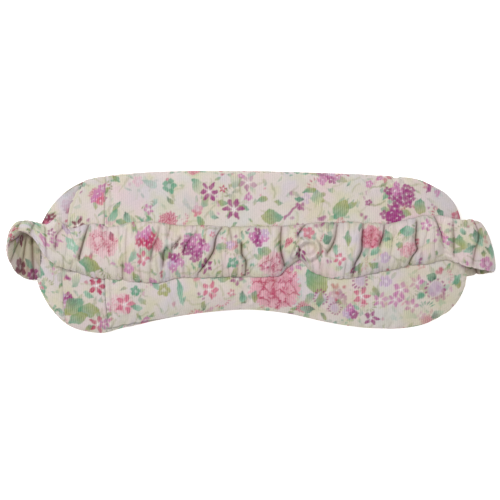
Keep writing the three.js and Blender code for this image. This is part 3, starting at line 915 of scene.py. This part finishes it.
def build_front_panel(back, face, flat, cotton):
    """The face side, and the end that rolls over the left edge up to the end seam."""
    v = np.linspace(0, 1, FACE_STEPS[1])
    under, under_places = stretch_of(face, flat, 0 * v, 0 * v + 1, v, FACE_STEPS[0])
    seam = crossing(flat, ACROSS_PANEL, END_SEAM)
    over, over_places = stretch_of(back, flat, 0 * seam, seam, ACROSS_PANEL, OVER_STEPS)
    off, high = past_line(over_places, END_SEAM), high_up(over_places)
    sink = (0.25 + 2.0 * high) * np.exp(off / 4) + 0.5 * soft_line(off, 0.6)
    edge_fade = smooth_step(np.linspace(0, 3, OVER_STEPS)[:, None])
    over = over - normals(over) * (sink * edge_fade)[..., None]
    # on the cloth, what rolls over lies beyond the left edge, as a mirror image
    over_places = over_places * [-1, 1] + [2 * COVER_LEFT, 0]
    points, places = (
        np.concatenate([low.reshape(-1, low.shape[-1]), high_part.reshape(-1, low.shape[-1])])
        for low, high_part in ((under, over), (under_places, over_places))
    )
    under_index = numbered(under)
    faces = np.vstack([
        grid_faces(under_index, flip=True), grid_faces(under_index.size + numbered(over)),
    ])
    colour = painted(places, FRONT_FLOWERS, spacing=20, seed=37)
    # painted shade beside the end seam on the end that rolls round: strongest towards the seam's upper
    # end, with a darker line at the seam
    seam_shade = 0.4 * np.exp(off / 1.8) * (0.25 + 0.75 * high) + 0.3 * high * soft_line(off, 0.5)
    darken(colour[under_index.size:], np.clip(seam_shade, 0, 1).ravel())
    return make_piece("cover_front_panel_cloth", points, faces, cotton, places, colour)


# ---- the strap ----

# Lower and upper edge of the strap at each station, from the left side seam round to the right one.
# Stations on the pillow have no height here: they lie on the cover.
LEFT_LOOP = [
    ((-107, -14.2, 4.6), (-106.5, 12.2, 4.8)), ((-113.2, -13.9, 3.8), (-111.5, 13.4, 4.2)),
    ((-118.6, -11.4, 5.0), (-115.6, 14.2, 4.4)), ((-122, -6.8, 8), (-117.4, 14.5, 5.0)),
    ((-123.4, -0.6, 11.6), (-118, 14.6, 6.5)), ((-122.4, 5.8, 14.6), (-117.8, 14.8, 8.6)),
    ((-118.8, 10, 16.6), (-116.4, 15, 10.6)), ((-113.8, 10.2, 17.2), (-112.8, 15.2, 12)),
    ((-109.2, 6, 17), (-108.8, 14.8, 12.8)), ((-103.8, -2.2, 16.2), (-103.5, 13.6, 13.4)),
    ((-97, -7.2, 15.2), (-98.4, 16, 14.2)),
]
ACROSS = [
    ((-89, -9.8), (-91.2, 11.6)), ((-80.3, -12.6), (-83, 13.6)), ((-75.5, -13.2), (-76.5, 13.6)),
    ((-70, -13.6), (-70.5, 12)), ((-60, -14.7), (-60, 14.4)), ((-46, -15.2), (-47, 14.2)),
    ((-36, -12.8), (-35, 12.7)), ((-26, -12.8), (-24, 12.8)), ((-11, -12.4), (-10, 12.2)),
    ((-1, -12.4), (2, 12.3)), ((9, -12.4), (9, 12.5)), ((15.5, -11.5), (16.5, 12.6)),
    ((20, -7.4), (21, 13)), ((26, -4), (26.5, 13.4)), ((30.7, -8.8), (31, 14)), ((35, -11), (36, 14.3)),
    ((43, -13.1), (44, 14.2)), ((52.3, -13.1), (53, 14.5)), ((61, -11), (62, 14.2)),
    ((72, -9), (72, 13.9)), ((83, -6.6), (83, 16.6)), ((91.5, -5.8), (90.5, 18)),
    ((100.5, -3.6), (98.5, 18)),
]
RIGHT_LOOP = [
    ((107, -5.6, 14.2), (107, 16, 14.6)), ((113, -7.6, 15), (113, 16, 15)),
    ((121.4, -9.2, 13.8), (117.6, 14.8, 14)), ((125.4, -9.9, 9.8), (119.4, 12.6, 9.6)),
    ((121.6, -10.9, 5.2), (116.4, 13, 5.2)), ((114, -12, 3.8), (112.4, 12.8, 4.2)),
    ((107.2, -12.8, 4.6), (106.5, 12, 4.8)),
]
ELASTIC_WIDTH = 20
ELASTIC_THICKNESS = 1.2
STRAP_CLEARANCE = 2.1       # between the cover and the strap's middle, and its edges
EDGE_CLEARANCE = 0.9
FLAT_FROM, FLAT_TO = -100, 103  # where the strap lies on the pillow
PUFF_HEIGHT = 4.8
LOOP_PUFF = 0.45            # how much of that the puffs have where the strap turns round the ends
CREASE_REACH = 3.4
EDGE_SCALLOP = 0.15
PAINTED_CREASE_SHADE = np.array([0.34, 0.26, 0.24])    # painted shade: what is left of each colour where the painted shade is full, as deep in a crease
# painted light: the casing's colours are made this much brighter than the same print on the cover
CASING_PAINTED_LIGHT = 1.04
CASING_STEP = 0.33
CASING_WIDTH = 27
SEAM_PLACE = -0.9           # the closing seam's place across the casing, which runs from -1 to 1
LAYER_ROOM = 0.85           # what the elastic needs under the cloth, even in a crease

# Creases of the gathered cloth, each (depth, points along it) in plan
CREASES = [
    (0.8, [(-96.1, 11.8), (-98.4, 8), (-98.9, 1.8)]),
    (1.0, [(-82.1, 13.3), (-83.1, 8.2), (-84.6, 2), (-86.2, -3.4)]),
    (0.8, [(-63.9, -7), (-64.5, -14.7)]), (0.3, [(-62.2, 11), (-62.2, -5.4)]),
    (0.6, [(-45.8, 11.5), (-46.7, 6.5), (-49, 2), (-49.8, -4)]), (0.6, [(-40.5, 12), (-41.4, 7.7)]),
    (0.8, [(-41.4, 1.4), (-43.4, -0.3), (-43.6, -7)]), (0.8, [(-35, 6.6), (-39.2, 1.8)]),
    (0.6, [(-27, 9.8), (-31.6, 4.4), (-33, 0.5)]),
    (1.0, [(-14, 12), (-16.5, 7.4), (-17.7, 0.8), (-19.8, -2.7), (-23, -7.4), (-26, -11.5)]),
    (0.6, [(-9.5, 12), (-9, 6.4)]), (1.0, [(-3.9, 3.4), (-3.6, -1.5), (-1.6, -5), (-1.9, -12)]),
    (1.0, [(16.6, 12), (16.1, 2.9), (16.8, -1.5), (18.3, -7)]),
    (0.9, [(28.9, 14), (26.6, 11.3), (25, 8.5)]), (0.6, [(25.2, 2.6), (25.9, -4.4)]),
    (0.9, [(44.9, 13.4), (44, 7.1), (42.2, 2.6), (40, -0.5)]),
    (1.0, [(58.3, 14.4), (57.7, 5.6), (57.4, 1.1), (56.3, -2.3), (54.1, -6.3), (53, -12)]),
    (0.9, [(69.1, 13.4), (68.3, 8.5), (66.6, 3.6)]), (0.3, [(74.8, 9.7), (72.7, 6.2)]),
    (1.0, [(85.6, 15), (84.5, 5.6), (85.4, 1.1), (83.1, -2.7), (81.8, -6.4)]),
    (0.9, [(95, 18), (96.7, 11.6), (99.2, 8)]),
    (0.9, [(104.8, 14.6), (105.4, 9.7), (105.7, 5.6), (105.4, -1.6)]),
    (0.9, [(115.2, 15), (116.6, 10.4), (116.9, 6.2), (115.4, 0.9), (114.2, -6)]),
]

# Ridges where the cloth has rolled over itself, each (height, points along it) in plan
ROLLS = [
    (1.9, [
        (23.4, -1.6), (25.4, 2.9), (29.3, 5.6), (33.8, 4.6), (35.3, 0.6), (32.6, -2.8), (28.6, -3.6),
    ]),
    (0.9, [(96.8, -4.6), (101.4, -2.4), (104.5, -3.4), (108.7, -6.6), (112.4, -7.6)]),
    (0.7, [(-96.2, 12.4), (-99.6, 13.6), (-103, 11.6)]),
]
ROLL_WIDTH = 1.0
LOOP_SHADE = 0.4            # how much painted shade the inside of the end loops has, as a share of the full crease shade

# How far across the strap a crease may run, in mm from its middle
CREASE_SPANS = ((-15, 15), (-15, 5), (-5, 15))
# The strap is over the pillow, and not in its end loops, between these shares of its length
OVER_PILLOW = (0.13, 0.92)


def height_on(points, places):
    """The height of the surface through points under each place, from its nearest point."""
    flat = points.reshape(-1, 3)
    return [flat[nearest(flat[:, :2], place), 2] for place in places]


def strap_edges(top):
    """The strap's lower and upper edge as curves in space, how far its middle arches out from the
    line between them, and its length along the middle."""
    stations = [(*low, *high, 0) for low, high in LEFT_LOOP]
    for low, high in ACROSS:
        heights = height_on(top, [low, high, (np.array(low) + high) / 2])
        low_z, high_z = heights[0] + EDGE_CLEARANCE, heights[1] + EDGE_CLEARANCE
        arch = max(heights) + STRAP_CLEARANCE - (low_z + high_z) / 2
        stations.append((*low, low_z, *high, high_z, arch))
    stations += [(*low, *high, 0) for low, high in RIGHT_LOOP]
    fine = curve_at(stations, np.linspace(0, 1, 1500))
    low, high, arch = fine[:, :3], fine[:, 3:6], fine[:, 6]
    return low, high, arch, run_along((low + high) / 2)


def fallen_creases(random, start, end, spacing, depth):
    """Creases at loosely even places along a stretch of strap, for where none are listed."""
    lines = []
    at = start + spacing * random.uniform(0.2, 0.8)
    while at < end:
        low, high = CREASE_SPANS[random.integers(len(CREASE_SPANS))]
        tilt = random.uniform(-3, 3)
        bend = random.uniform(-1, 1)
        line = [(at - tilt, low), (at + bend, (low + high) / 2), (at + tilt, high)]
        lines.append((random.uniform(*depth), line))
        at += spacing * random.uniform(0.7, 1.3)
    return lines


def edge_pleats(random, start, end, spacing):
    """Short shallow pleats where the gathers run out at the casing's two edges."""
    lines = []
    for edge in (-1, 1):
        at = start
        while at < end:
            reach = random.uniform(3, 6.5)
            tilt = random.uniform(-1.2, 1.2)
            line = [(at, edge * 15), (at + tilt, edge * (13.5 - reach))]
            lines.append((random.uniform(0.12, 0.4), line))
            at += spacing * random.uniform(0.6, 1.4)
    return lines


def distance_to(line, s, w):
    """How far places on the strap are from a line of points."""
    shortest = np.full_like(s, np.inf)
    for (s0, w0), (s1, w1) in zip(line[:-1], line[1:]):
        ds, dw = s1 - s0, w1 - w0
        share = np.clip(((s - s0) * ds + (w - w0) * dw) / (ds**2 + dw**2), 0, 1)
        shortest = np.minimum(shortest, np.hypot(s - s0 - share * ds, w - w0 - share * dw))
    return shortest


def gathers(s, w, lines):
    """The gathered cloth at distances s and places w in mm.

    Returns its height, from 0 in a crease to 1 on a puff, how far it leans along the strap towards
    the nearest crease, which closes each crease to a slit, and how much painted shade each place gets
    from the creases.
    """
    height = np.ones_like(s)
    lean = np.zeros_like(s)
    painted_shade = np.zeros_like(s)
    for depth, line in lines:
        places = curve_at(sorted(line, key=lambda place: place[1]), np.linspace(0, 1, 30))
        places[:, 1] = np.maximum.accumulate(places[:, 1])
        off = s - np.interp(w, places[:, 1], places[:, 0])
        past = np.maximum(0, np.maximum(places[0, 1] - w, w - places[-1, 1]))
        size = CREASE_REACH * (0.4 + 0.6 * depth)
        fade = depth * soft_line(past, 1.6)
        share = np.minimum(abs(off) / size, 1)
        height *= 1 - fade * (1 - np.sqrt(share * (2 - share)))
        lean -= fade * 0.5 * off * np.exp(-abs(off) / (0.3 * size))
        # painted shade, deepest in the crease and fading beside it
        crease_shade = 0.75 * np.exp(-abs(off) / (0.18 * size)) + 0.25 * np.exp(-abs(off) / (0.55 * size))
        painted_shade = np.maximum(painted_shade, fade * crease_shade)
    return height, lean, painted_shade


class Strap:
    """The strap's path and its gathers, which the casing, the elastic and the long seam share."""

    def __init__(self, top):
        low, high, self.arch, self.run = strap_edges(top)
        self.middle = (low + high) / 2
        half_way = (high - low) / 2
        self.half = np.linalg.norm(half_way, axis=1)
        self.across = half_way / self.half[:, None]
        self.outward = unit(np.cross(np.gradient(self.middle, axis=0), self.across))
        self.length = self.run[-1]
        start, end = np.array(OVER_PILLOW) * self.length
        self.over_pillow = (self.run > start) & (self.run < end)
        self.flat_start, self.flat_end = self.at_x(FLAT_FROM), self.at_x(FLAT_TO)
        random = np.random.default_rng(11)
        self.outer = [(depth, self.to_strap(points)) for depth, points in CREASES]
        self.rolls = [(height, self.to_strap(points)) for height, points in ROLLS]
        left_end = self.outer[0][1][0][0] - 6
        right_end = self.outer[-1][1][0][0] + 5
        self.outer += fallen_creases(random, 2, left_end, 7.5, (0.5, 0.95))
        self.outer += fallen_creases(random, right_end, self.length - 2, 7, (0.5, 0.9))
        self.outer += fallen_creases(random, left_end, right_end, 6, (0.08, 0.25))
        self.outer += edge_pleats(random, 2, self.length - 2, 3.4)
        self.inner = fallen_creases(random, 2, self.length - 2, 6.5, (0.5, 0.95))
        self.inner += edge_pleats(random, 2, self.length - 2, 4)
        self.even = np.linspace(0, self.length, int(self.length / CASING_STEP))
        w = np.linspace(-0.8, 0.8, 17)[None] * np.ones((len(self.even), 1))
        (outer, _), _ = casing_layers(self, self.even, w)
        step = np.linalg.norm(np.diff(outer, axis=0), axis=2).mean(1)
        self.cloth_run = np.r_[0, np.cumsum(step)]
        self.cloth_run -= self.cloth_at(self.run[nearest(self.middle[:, :1], 0)])
        on_pillow = [(kind, self.at_x(x), *what) for kind, x, *what in STRAP_FLOWERS]
        self.flowers = [
            (kind, self.cloth_at(s), *what) for kind, s, *what in on_pillow + LOOP_FLOWERS
        ]

    def at_x(self, x):
        """The distance along the strap where its run over the pillow reaches x."""
        return np.interp(x, self.middle[self.over_pillow, 0], self.run[self.over_pillow])

    def cloth_at(self, s):
        """The distance along the ungathered cloth at distances s along the strap."""
        return np.interp(s, self.even, self.cloth_run)

    def to_strap(self, points):
        """Plan points over the pillow as (distance along the strap, distance across it)."""
        axis = self.across[:, :2]
        found = []
        for point in points:
            off = np.array(point) - self.middle[:, :2]
            w = (off * axis).sum(1)
            miss = np.linalg.norm(off - w[:, None] * axis, axis=1)
            best = np.argmin(np.where(self.over_pillow, miss, np.inf))
            found.append((self.run[best], w[best]))
        return found

    def frame_at(self, s):
        """Middle, across and outward vectors and half width at distances s."""
        vectors = (between(self.run, part, s) for part in (self.middle, self.across, self.outward))
        return *vectors, np.interp(s, self.run, self.half)

    def place(self, s, w, rise):
        """Points at distances s along, at places w from -1 to 1 across, and rise mm out."""
        middle, across, outward, half = self.frame_at(s.ravel())
        half = half * w.ravel()
        arch = np.interp(s.ravel(), self.run, self.arch)
        out = rise.ravel() + arch * np.maximum(0, 1 - w.ravel() ** 2)
        points = middle + across * half[:, None] + outward * out[:, None]
        return points.reshape(*s.shape, 3)


def casing_layers(strap, s, w):
    """The casing's outer and inner layers at distances s and places w from -1 to 1 across it, and the
    painted shade of each: in creases, beside rolls, along the outer top edge and inside the end loops."""
    half = strap.frame_at(s)[-1][:, None]
    room = LAYER_ROOM * (1 - w**2) ** 0.25
    bulge = (1 - w**2) ** 0.6
    on_pillow = smooth_step((s - strap.flat_start) / 12) * smooth_step((strap.flat_end - s) / 12)
    on_pillow = on_pillow[:, None]
    outer_height = PUFF_HEIGHT * (LOOP_PUFF + (1 - LOOP_PUFF) * on_pillow)
    inner_height = PUFF_HEIGHT * (0.6 - 0.42 * on_pillow)
    along = s[:, None] * np.ones_like(w)
    layers, painted_shades = [], []
    for sign, lines, height in ((1, strap.outer, outer_height), (-1, strap.inner, inner_height)):
        puff, lean, painted_shade = gathers(along, w * half, lines)
        fine = 0.12 * np.sin(along * 2.3 + 2 * np.sin(w * 3 + along * 0.4)) * abs(w) ** 2
        wander = 0.88 + 0.12 * np.sin(along * 0.31 + sign) * np.sin(along * 0.13 + 1)
        rise = room + (height * puff * wander + fine) * bulge
        for roll, line in strap.rolls if sign == 1 else ():
            smooth = curve_at(line, np.linspace(0, 1, 5 * len(line)))
            off = distance_to(smooth, along, w * half) / ROLL_WIDTH
            beside = soft_line(off - 1.8, 0.6)
            rise += roll * (soft_line(off, 1) - 0.4 * beside) * bulge
            # painted shade beside each roll
            painted_shade = np.maximum(painted_shade, 0.17 * roll * beside)
        rise = np.maximum(rise, room)
        # painted shadow along the outer layer's upper edge, and painted shade all over the inner layer
        # where it turns round the end loops
        if sign == 1:
            painted_shade = np.maximum(painted_shade, 0.3 * np.exp(-(1 - w) * half / 0.5))
        else:
            painted_shade = np.minimum(painted_shade + LOOP_SHADE * (1 - on_pillow), 1)
        edge = 1 + EDGE_SCALLOP * (puff - 0.62) * abs(w) ** 4
        layers.append(strap.place(along + lean, w * edge, sign * rise))
        painted_shades.append(painted_shade)
    return layers, painted_shades


def build_casing(strap, cotton, name, start, end):
    """One stretch of the gathered casing: a strip folded in two, whose long edges meet at the seam."""
    s = np.linspace(start, end, int((end - start) / CASING_STEP) + 1)
    w = np.sin(np.linspace(-math.pi / 2, math.pi / 2, 64))[None] * np.ones((len(s), 1))
    (outer, inner), painted_shades = casing_layers(strap, s, w)
    both_edges = [(outer[:, k] + inner[:, k]) / 2 for k in (0, -1)]
    for layer in (outer, inner):
        layer[:, 0], layer[:, -1] = both_edges
    points = np.concatenate([outer, inner[:, -2::-1]], axis=1)
    across = w[0] * CASING_WIDTH / 2
    across = np.r_[across, CASING_WIDTH - across[-2::-1]]
    places = np.stack(np.meshgrid(strap.cloth_at(s), across, indexing="ij"), axis=2).reshape(-1, 2)
    colour = painted(places, strap.flowers, FLOWER_SPACING, seed=71)
    painted_shade = np.concatenate([painted_shades[0], painted_shades[1][:, -2::-1]], axis=1).reshape(-1, 1)
    # painted light and shade: the whole casing a little brighter, and darker in its creases, beside its
    # rolls, along its outer top edge and inside the end loops
    colour[:, :3] *= CASING_PAINTED_LIGHT * (1 - (1 - PAINTED_CREASE_SHADE) * painted_shade)
    return make_piece(name, points, grid_faces(numbered(points)), cotton, places, colour)


def build_strap_seam(strap, thread, name, start, end):
    """The seam that closes the casing, along its lower edge."""
    s = np.linspace(start, end, int((end - start) / 0.5) + 1)
    (outer, _), _ = casing_layers(strap, s, np.full((len(s), 1), SEAM_PLACE))
    _, _, outward, _ = strap.frame_at(s)
    return stitch_row(name, outer[:, 0], outward, thread, length=1.8, gap=0.9, radius=SEAM_THREAD)


def build_tack(strap, thread, name, side):
    """The row of stitches that holds one end of the strap in the side seam, at side -1 or 1."""
    middle, across, _, half = strap.frame_at(np.array([0.0, strap.length]))
    share = np.linspace(-0.78, 0.78, 60)[:, None]
    end = 0 if side < 0 else 1
    path = middle[end] + across[end] * half[end] * share
    return stitch_row(name, path, np.tile([side, 0, 0.2], (60, 1)), thread, radius=0.2)


def build_elastic(strap, webbing, name, start, end):
    """The woven elastic inside the casing: a flat band with fine lengthwise ribs."""
    s = np.linspace(start, end, int((end - start) / 0.9) + 1)
    _, _, _, half = strap.frame_at(s)
    turn = np.linspace(0, 2 * math.pi, 97)[:-1]
    side = np.clip(np.cos(turn) * 1.25, -1, 1)
    flat = np.sign(np.sin(turn)) * np.minimum(abs(np.sin(turn)) * 4, 1) ** 0.5
    rib = 1 + 0.12 * np.cos(side * 11 * math.pi)
    width = np.minimum(ELASTIC_WIDTH / 2 / half, 0.74)[:, None] * side
    rise = ELASTIC_THICKNESS / 2 * flat * rib * np.ones_like(width)
    points = strap.place(s[:, None] * np.ones_like(width), width, rise)
    return make_piece(name, points, tube_faces(numbered(points)), webbing)


# ---- threads ----

# Rings of one stitch: where along it, how thick and how far out
STITCH_RINGS = [
    (0.0, 0.35, -0.4), (0.12, 0.8, 0.3), (0.5, 1.0, 0.75), (0.88, 0.8, 0.3), (1.0, 0.35, -0.4),
]
STITCH_SIDES = 6
SEAM_THREAD = 0.13          # the radius of the seams' thread
SEAM_SUNK = 0.3             # how far the seam's thread lies in from the cover's edge


def stitch_row(name, path, outward, material, length=2.0, gap=0.7, radius=0.16):
    """A row of separate stitches along a path of points; outward points away from the cloth."""
    run, outward = run_along(path), unit(outward)
    count = max(1, int(run[-1] / (length + gap)))
    turn = (np.arange(STITCH_SIDES) * 2 * math.pi / STITCH_SIDES)[:, None]
    shares, sizes, rises = np.transpose(STITCH_RINGS)
    points, faces = [], []
    for number in range(count):
        here = number * run[-1] / count + length * shares
        centre, up = between(run, path, here), between(run, outward, here)
        side = np.cross(unit(centre[-1] - centre[0]), up)
        centre = centre + up * rises[:, None] * radius
        round_it = np.cos(turn) * side[:, None] + np.sin(turn) * up[:, None]
        rings = centre[:, None] + radius * sizes[:, None, None] * round_it
        faces += tube_faces(number * rings.size // 3 + numbered(rings))
        points.append(rings)
    return make_piece(name, np.stack(points), faces, material)


def across_panel(side, flat, x, inset, lift):
    """A line over the cover at one flat x, with the directions out of the cloth."""
    v = np.linspace(inset, 1 - inset, 240)
    u = crossing(flat, v, upright(x))
    step = 0.002
    here = sample(side, u, v)
    normal = unit(np.cross(sample(side, u + step, v) - here, sample(side, u, v + step) - here))
    return here + normal * lift, normal


def rim(side):
    """The seam all round, as a closed line with the directions out from the pillow."""
    fine = evenly(edge_loop(side), 1400, dense=9000)
    outward = unit(np.cross(np.gradient(fine, axis=0), [0, 0, 1.0]))
    return fine - outward * SEAM_SUNK, outward


# ---- what lies inside the cover ----

def shrunk(grid, along, across, rise):
    """A smaller copy of one side of the cover, for what lies inside it."""
    copy = grid * [along, across, 1]
    copy[..., 2] = SEAM_HEIGHT + (grid[..., 2] - SEAM_HEIGHT) * rise
    return copy


def refined(grid, rows, columns):
    """The smooth surface through a grid, as a finer grid."""
    u, v = np.meshgrid(np.linspace(0, 1, rows), np.linspace(0, 1, columns), indexing="ij")
    return sample(grid, u, v)


def build_inner_panel(name, grid, material, flip):
    """One side of the plain inner pouch."""
    points = refined(grid, 190, 76)
    return make_piece(name, points, grid_faces(numbered(points), flip), material)


def build_filling(back, face, material):
    """The dried herbs as one lumpy mass that fills the pouch."""
    upper, lower = refined(back, 230, 92), refined(face, 230, 92)
    depth = np.clip((upper - lower)[..., 2] / 3, 0, 1)
    for side, sign in ((upper, 1), (lower, -1)):
        x, y = side[..., 0], side[..., 1]
        grain = np.sin(x * 2.9 + 2 * np.sin(y * 1.1)) * np.sin(y * 3.3 + 2 * np.sin(x * 0.9))
        side[..., 2] += sign * 0.28 * grain * depth
    points = np.concatenate([upper.reshape(-1, 3), lower[1:-1, 1:-1].reshape(-1, 3)])
    top, bottom = two_sides(*upper.shape[:2])
    faces = np.vstack([grid_faces(top), grid_faces(bottom, flip=True)])
    return make_piece("herb_filling_loose", points, faces, material)


# ---- floor, light and camera ----

VIEW_WIDTH = 0.2575         # in metres: what the picture's width shows at the height of the seam
CAMERA_HEIGHT = 1.2
VIEW_CENTRE = (0.0005, 0.0008)
# Each lamp's name, place and size in metres, and power: a key light from the upper left, and a fill
LAMPS = [("key", (-0.55, 0.42, 1.2), 0.45, 11.9), ("fill", (0.6, -0.5, 1.2), 0.8, 3.9)]


def add_object(name, data, place):
    added = bpy.data.objects.new(name, data)
    added.location = place
    bpy.context.scene.collection.objects.link(added)
    return added


def build_stage():
    """A plain pale floor, two soft lamps and an even white surround."""
    bpy.ops.mesh.primitive_plane_add(size=6, location=(0, 0, -0.0004))
    floor = bpy.context.object
    floor.name = "floor"
    nodes = Nodes("pale_floor")
    nodes.feed(nodes.shader, {
        "Base Color": (0.93, 0.93, 0.93, 1),
        "Roughness": 0.95,
        "Specular IOR Level": 0.0,
        "Emission Color": (1, 1, 1, 1),
        "Emission Strength": 0.6,
    })
    floor.data.materials.append(nodes.material)
    for name, place, size, watts in LAMPS:
        light = bpy.data.lights.new(name, "AREA")
        light.size = size
        light.energy = watts
        lamp = add_object(name, light, place)
        lamp.rotation_euler = (-Vector(place)).to_track_quat("-Z", "Y").to_euler()
    world = bpy.data.worlds.new("surround")
    world.use_nodes = True
    background = world.node_tree.nodes["Background"]
    background.inputs["Color"].default_value = (1, 1, 1, 1)
    background.inputs["Strength"].default_value = 0.25
    bpy.context.scene.world = world
    bpy.context.scene.view_settings.view_transform = "Standard"


def build_camera():
    camera = bpy.data.cameras.new("camera")
    camera.sensor_width = 36
    camera.lens = camera.sensor_width * (CAMERA_HEIGHT - SEAM_HEIGHT * MM) / VIEW_WIDTH
    bpy.context.scene.camera = add_object("camera", camera, (*VIEW_CENTRE, CAMERA_HEIGHT))


# ---- build ----

# How long, wide and thick the pouch and the filling are, as shares of the cover
POUCH_SHARES = (0.975, 0.94, 0.84)
FILLING_SHARES = (0.955, 0.9, 0.72)


def attach(node):
    """Hides the CAD node whose place a built piece takes."""
    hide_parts(node)


build_camera()
build_stage()

pattern = pattern_grid()
back, face = lay_on_table(*blow_up(pattern))
cotton = printed_cotton()
thread = woven("sewing_thread", srgb(214, 206, 190), pitch=0.0005)
muslin = woven("plain_cotton", srgb(226, 218, 200), pitch=0.0006)
webbing = woven("woven_elastic", srgb(236, 233, 226), pitch=0.0011)
herbs = woven("dried_herbs", srgb(120, 92, 54), pitch=0.0024, contrast=0.45)

back_panel = build_back_panel(back, pattern, cotton)
side_flap = build_side_flap(back, pattern, cotton)
front_panel = build_front_panel(back, face, pattern, cotton)

pouch_back, pouch_face = (shrunk(side, *POUCH_SHARES) for side in (back, face))
pouch_back_panel = build_inner_panel("pouch_back_panel_cloth", pouch_back, muslin, flip=False)
pouch_front_panel = build_inner_panel("pouch_front_panel_cloth", pouch_face, muslin, flip=True)
filling = build_filling(*(shrunk(side, *FILLING_SHARES) for side in (back, face)), herbs)

cover_seam = stitch_row("cover_seam_thread", *rim(back), thread, radius=SEAM_THREAD)
pouch_seam = stitch_row("pouch_seam_thread", *rim(pouch_back), thread, radius=SEAM_THREAD)
hem_line = across_panel(back, pattern, OPENING_X + HEM_WIDTH, inset=0.015, lift=0.62)
hem_row = stitch_row("back_panel_hem_stitches", *hem_line, thread)
flap_hem_line = across_panel(back, pattern, FLAP_END_X - HEM_WIDTH, inset=0.03, lift=-0.33)
flap_hem_row = stitch_row("side_flap_hem_stitches", *flap_hem_line, thread)

strap = Strap(back)
span_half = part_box("strap_casing_span")[1][0] / MM
span_start, span_end = strap.at_x(-span_half), strap.at_x(span_half)

# Each stretch of the strap: its name, its side of the pillow, and where it starts and ends
for stretch, side, start, end in (
    ("left_end", -1, 0, span_start),
    ("span", 0, span_start, span_end),
    ("right_end", 1, span_end, strap.length),
):
    casing = build_casing(strap, cotton, f"strap_casing_{stretch}_cloth", start, end)
    band = build_elastic(strap, webbing, f"strap_elastic_{stretch}_band", start, end)
    seam = build_strap_seam(strap, thread, f"strap_seam_{stretch}_thread", start, end)
    attach(f"strap_casing_{stretch}")
    attach(f"strap_elastic_{stretch}")
    attach(f"strap_long_seam_{stretch}")
    for piece in (casing, band, seam):
        if side == 0:
            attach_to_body(piece, "strap")
        else:
            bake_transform(piece)

for side, name in ((-1, "left"), (1, "right")):
    tack = build_tack(strap, thread, f"{name}_tack_thread", side)
    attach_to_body(tack, "pillow")
    attach(f"{name}_strap_tack")

for piece, node, slot in (
    (back_panel, "cover_back_panel", "printed_cotton"),
    (side_flap, "cover_side_flap", "printed_cotton"),
    (front_panel, "cover_front_panel", "printed_cotton"),
    (cover_seam, "cover_perimeter_seam", "sewing_thread"),
    (hem_row, "back_panel_hem_stitch", "sewing_thread"),
    (flap_hem_row, "side_flap_hem_stitch", "sewing_thread"),
    (pouch_back_panel, "pouch_back_panel", "plain_cotton"),
    (pouch_front_panel, "pouch_front_panel", "plain_cotton"),
    (pouch_seam, "pouch_seam", "sewing_thread"),
    (filling, "herb_filling", "dried_herbs"),
):
    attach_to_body(piece, "pillow")
    attach(node)
